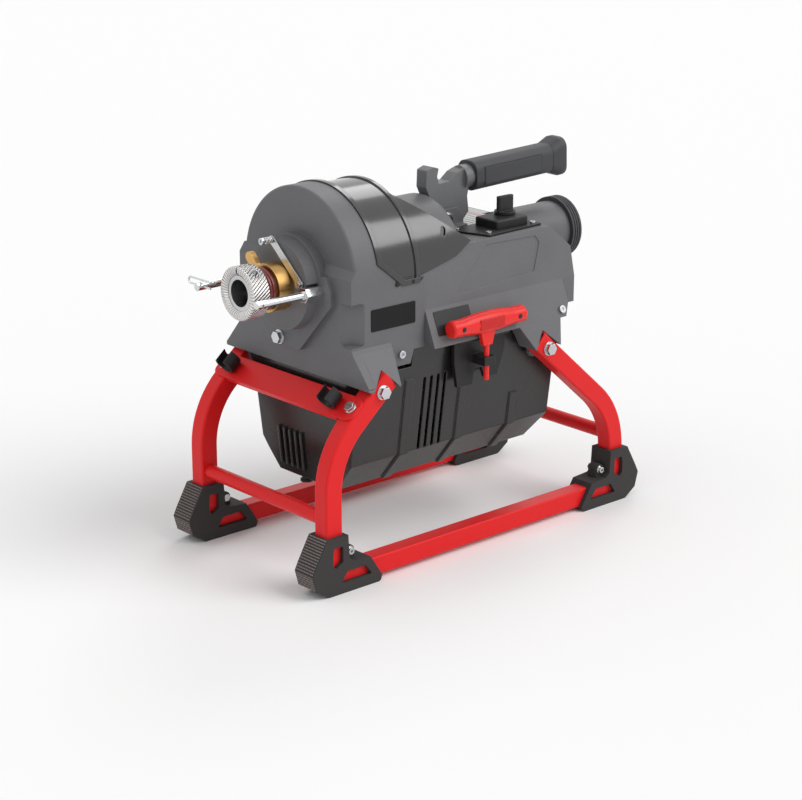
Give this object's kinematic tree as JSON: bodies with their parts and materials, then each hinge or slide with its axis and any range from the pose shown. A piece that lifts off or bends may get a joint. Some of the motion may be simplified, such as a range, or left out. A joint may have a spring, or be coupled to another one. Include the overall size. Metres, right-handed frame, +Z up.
{
  "type": "sectional drain cleaning machine",
  "caption": "Portable powered drain cleaning machine: grey cast body with a through spindle, on a red tube stand with rubber shoes and a top clutch lever.",
  "frame": {"origin": "on the floor, under the middle of the machine's plan", "axes": "+Z up, -Y towards the cable outlet, +X towards the side with the pin key"},
  "size_m": [0.3142, 0.644, 0.5258],
  "materials": {
    "grey_casting": "textured dark grey paint",
    "red_paint": "gloss red powder coat",
    "black_plastic": "moulded",
    "gloss_black": "moulded, glossy",
    "shoe_rubber": "moulded tread",
    "zinc_steel": "zinc plated",
    "chrome": "bright",
    "machined_steel": "turned",
    "brass": "machined",
    "maroon": "moulded",
    "grey_tube": "dark grey paint",
    "black_rubber": "soft touch",
    "red_plastic": "moulded"
  },
  "bodies": {
    "machine": {"belt_cover": "gloss_black", "brass_bush": "brass", "clutch_dome": "grey_casting", "cord_gland": "black_plastic", "cross_tubes": "red_paint", "crossbar_bolts": "zinc_steel", "drive_belt": "black_rubber", "flange_bolts": "zinc_steel", "front_bearing": "machined_steel", "front_crossbar": "red_paint", "front_housing": "grey_casting", "front_leg_left": "red_paint", "front_leg_right": "red_paint", "front_shoe_left": "shoe_rubber", "front_shoe_right": "shoe_rubber", "guide_funnel": "black_plastic", "guide_pins": "chrome", "guide_tube": "grey_tube", "housing_screws": "zinc_steel", "key_holder": "black_plastic", "lever_bracket": "grey_casting", "link_arm": "zinc_steel", "link_screws": "zinc_steel", "link_spring": "chrome", "lower_shroud": "black_plastic", "motor_body": "grey_tube", "motor_mount": "grey_tube", "name_plate": "black_plastic", "pivot_pin": "zinc_steel", "rating_plate": "black_plastic", "rear_bearing": "machined_steel", "rear_housing": "grey_casting", "rear_leg_left": "red_paint", "rear_leg_right": "red_paint", "rear_shoe_left": "shoe_rubber", "rear_shoe_right": "shoe_rubber", "shoe_screws": "zinc_steel", "side_rail_left": "red_paint", "side_rail_right": "red_paint", "spring_clips": "chrome", "switch_box": "black_plastic", "switch_plate": "black_plastic", "switch_screws": "zinc_steel", "tail_ring": "black_rubber"},
    "spindle": {"spindle_tube": "machined_steel", "nose_collar": "machined_steel", "collar_screw": "zinc_steel", "spindle_rings": "maroon", "spindle_pulley": "machined_steel", "clutch_jaws": "machined_steel"},
    "motor_rotor": {"motor_shaft": "machined_steel", "motor_pulley": "machined_steel", "motor_fan": "black_plastic"},
    "feed_lever": {"lever": "grey_tube", "lever_grip": "black_rubber"},
    "clutch_sleeve": {"thrust_sleeve": "machined_steel"},
    "switch_selector": {"switch_knob": "black_rubber"},
    "retaining_key": {"pin_key": "red_plastic"},
    "safety_clip": {"hitch_clip": "chrome"}
  },
  "joints": [
    {"name": "spindle_spin", "type": "hinge", "parent": "machine", "child": "spindle", "pos_m": [0, 0, 0.389], "axis": [0, -1, 0], "continuous": true},
    {"name": "motor_spin", "type": "hinge", "parent": "machine", "child": "motor_rotor", "pos_m": [0, 0, 0.195], "axis": [0, -1, 0], "continuous": true},
    {"name": "lever_press", "type": "hinge", "parent": "machine", "child": "feed_lever", "pos_m": [0, 0.056, 0.44], "axis": [-1, 0, 0], "range_deg": [0, 6], "stiffness_Nm_per_rad": 30, "springref_deg": -6.88},
    {"name": "sleeve_slide", "type": "slide", "parent": "machine", "child": "clutch_sleeve", "axis": [0, -1, 0], "range_m": [0, 0.0022]},
    {"name": "switch_turn", "type": "hinge", "parent": "machine", "child": "switch_selector", "pos_m": [0.052, 0.136, 0.44], "axis": [0, 0, 1], "range_deg": [-60, 60]},
    {"name": "key_lift", "type": "slide", "parent": "machine", "child": "retaining_key", "axis": [0, 0, 1], "range_m": [0, 0.05]},
    {"name": "clip_pull", "type": "slide", "parent": "machine", "child": "safety_clip", "axis": [-1, 0, 0], "range_m": [0, 0.03]}
  ],
  "couplings": [
    {"joint": "motor_spin", "follows": "spindle_spin", "ratio": 3.3333},
    {"joint": "sleeve_slide", "follows": "lever_press", "m_per_rad": 0.0198}
  ]
}
